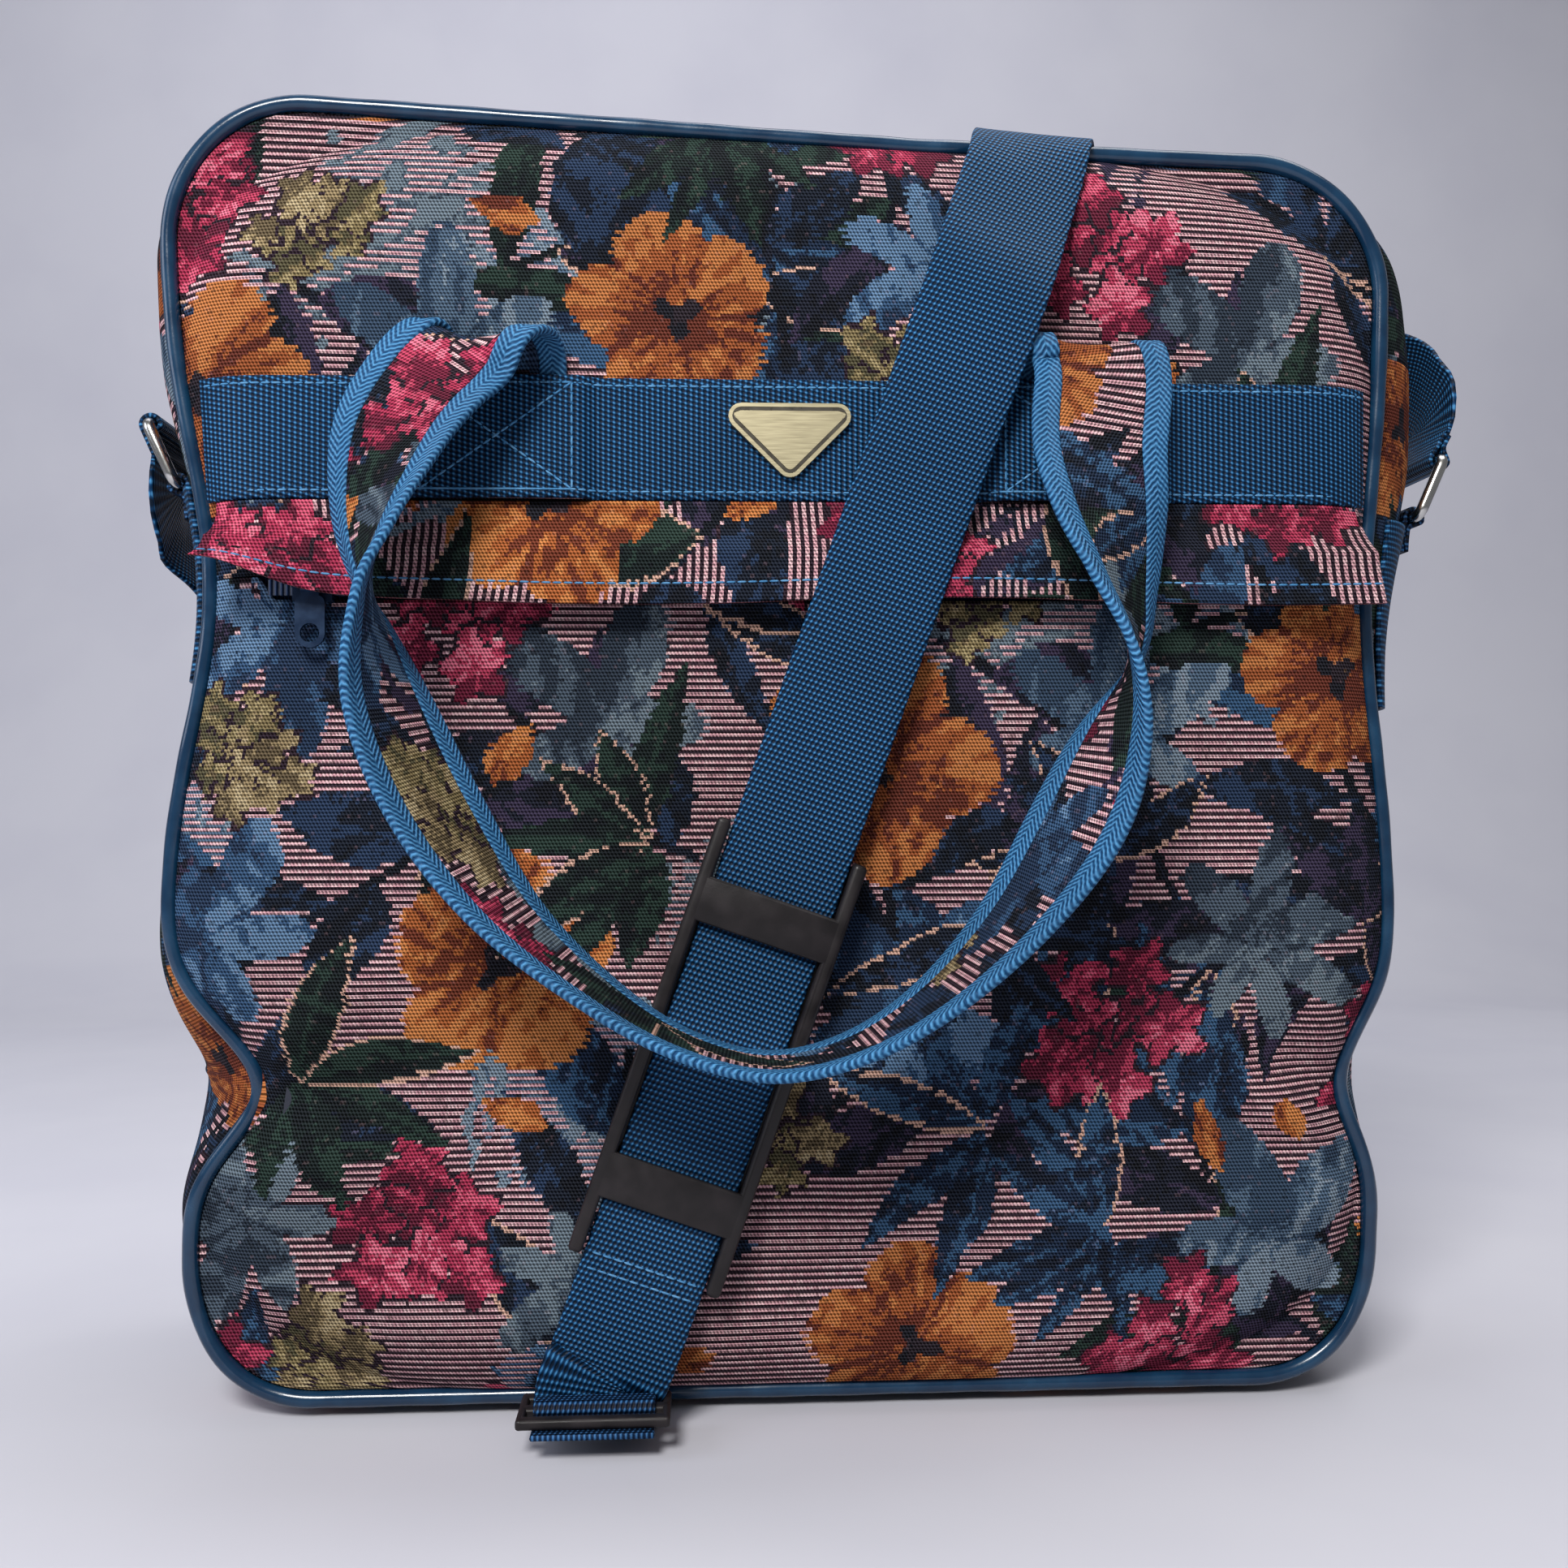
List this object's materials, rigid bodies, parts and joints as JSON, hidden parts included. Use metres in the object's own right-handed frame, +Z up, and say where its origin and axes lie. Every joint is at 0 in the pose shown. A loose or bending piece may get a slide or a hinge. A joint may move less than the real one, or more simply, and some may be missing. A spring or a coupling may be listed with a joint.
{
  "type": "tapestry shoulder bag",
  "caption": "Soft square shoulder bag in floral tapestry with piped edges, a webbing band, a zipped front pocket under a flap, carry handles and a webbing strap with a pad.",
  "frame": {"origin": "middle of the base, on the floor it stands on", "axes": "-Y out of the front, +X to the viewer's right of the front, +Z up"},
  "size_m": [0.4562, 0.2119, 0.4132],
  "materials": {
    "tapestry": "woven floral tapestry",
    "webbing": "ribbed webbing",
    "binding": "herringbone binding tape",
    "vinyl": "glossy vinyl",
    "badge_metal": "brushed pale gold",
    "zip_cloth": "zip tape",
    "zip_metal": "navy enamel",
    "ring_metal": "nickel plate",
    "pad_plastic": "black moulded plastic",
    "board": "plain board"
  },
  "bodies": {
    "bag_body": {"front_panel": "tapestry", "pocket_panel": "tapestry", "back_panel": "tapestry", "lower_gusset": "tapestry", "top_gusset_front": "tapestry", "top_gusset_rear": "tapestry", "front_piping": "vinyl", "back_piping": "vinyl", "front_band": "webbing", "back_band": "webbing", "flap": "tapestry", "badge": "badge_metal", "front_handle": "tapestry", "front_binding_outer": "binding", "front_binding_inner": "binding", "back_handle": "tapestry", "back_binding_outer": "binding", "back_binding_inner": "binding", "pocket_zip_tape": "zip_cloth", "pocket_zip_coil": "zip_cloth", "pocket_lining": "zip_cloth", "main_zip_tape": "zip_cloth", "main_zip_coil": "zip_cloth", "side_patch_left": "webbing", "side_patch_right": "webbing", "ring_tab_left": "webbing", "ring_tab_right": "webbing", "strap": "webbing", "strap_slide": "pad_plastic", "strap_tail": "webbing", "base_board": "board"},
    "pocket_slider_body": {"pocket_slider": "zip_metal"},
    "pocket_pull_body": {"pocket_pull": "zip_metal"},
    "main_slider_body": {"main_slider": "zip_metal"},
    "main_pull_body": {"main_pull": "zip_metal"},
    "ring_left_body": {"side_ring_left": "ring_metal", "strap_loop_left": "webbing"},
    "ring_right_body": {"side_ring_right": "ring_metal", "strap_loop_right": "webbing"},
    "pad_body": {"shoulder_pad": "pad_plastic"}
  },
  "joints": [
    {"name": "pocket_zip_slide", "type": "slide", "parent": "bag_body", "child": "pocket_slider_body", "axis": [1, 0, 0], "range_m": [0, 0.29]},
    {"name": "pocket_pull_hinge", "type": "hinge", "parent": "pocket_slider_body", "child": "pocket_pull_body", "pos_m": [-0.146, -0.0727, 0.257], "axis": [-1, 0, 0], "range_deg": [0, 18]},
    {"name": "main_zip_slide", "type": "slide", "parent": "bag_body", "child": "main_slider_body", "axis": [0.9996, 0, -0.0279], "range_m": [0, 0.16]},
    {"name": "main_pull_hinge", "type": "hinge", "parent": "main_slider_body", "child": "main_pull_body", "pos_m": [-0.11781, 0, 0.40799], "axis": [-0.9996, 0, 0.0279], "range_deg": [0, 150]},
    {"name": "ring_left_hinge", "type": "hinge", "parent": "bag_body", "child": "ring_left_body", "pos_m": [-0.20368, 0, 0.299], "axis": [0, -1, 0], "range_deg": [-6, 22]},
    {"name": "ring_right_hinge", "type": "hinge", "parent": "bag_body", "child": "ring_right_body", "pos_m": [0.22281, 0, 0.29], "axis": [0, 1, 0], "range_deg": [-6, 22]},
    {"name": "pad_slide", "type": "slide", "parent": "bag_body", "child": "pad_body", "axis": [0.3338, 0, 0.9426], "range_m": [-0.012, 0.058]}
  ]
}
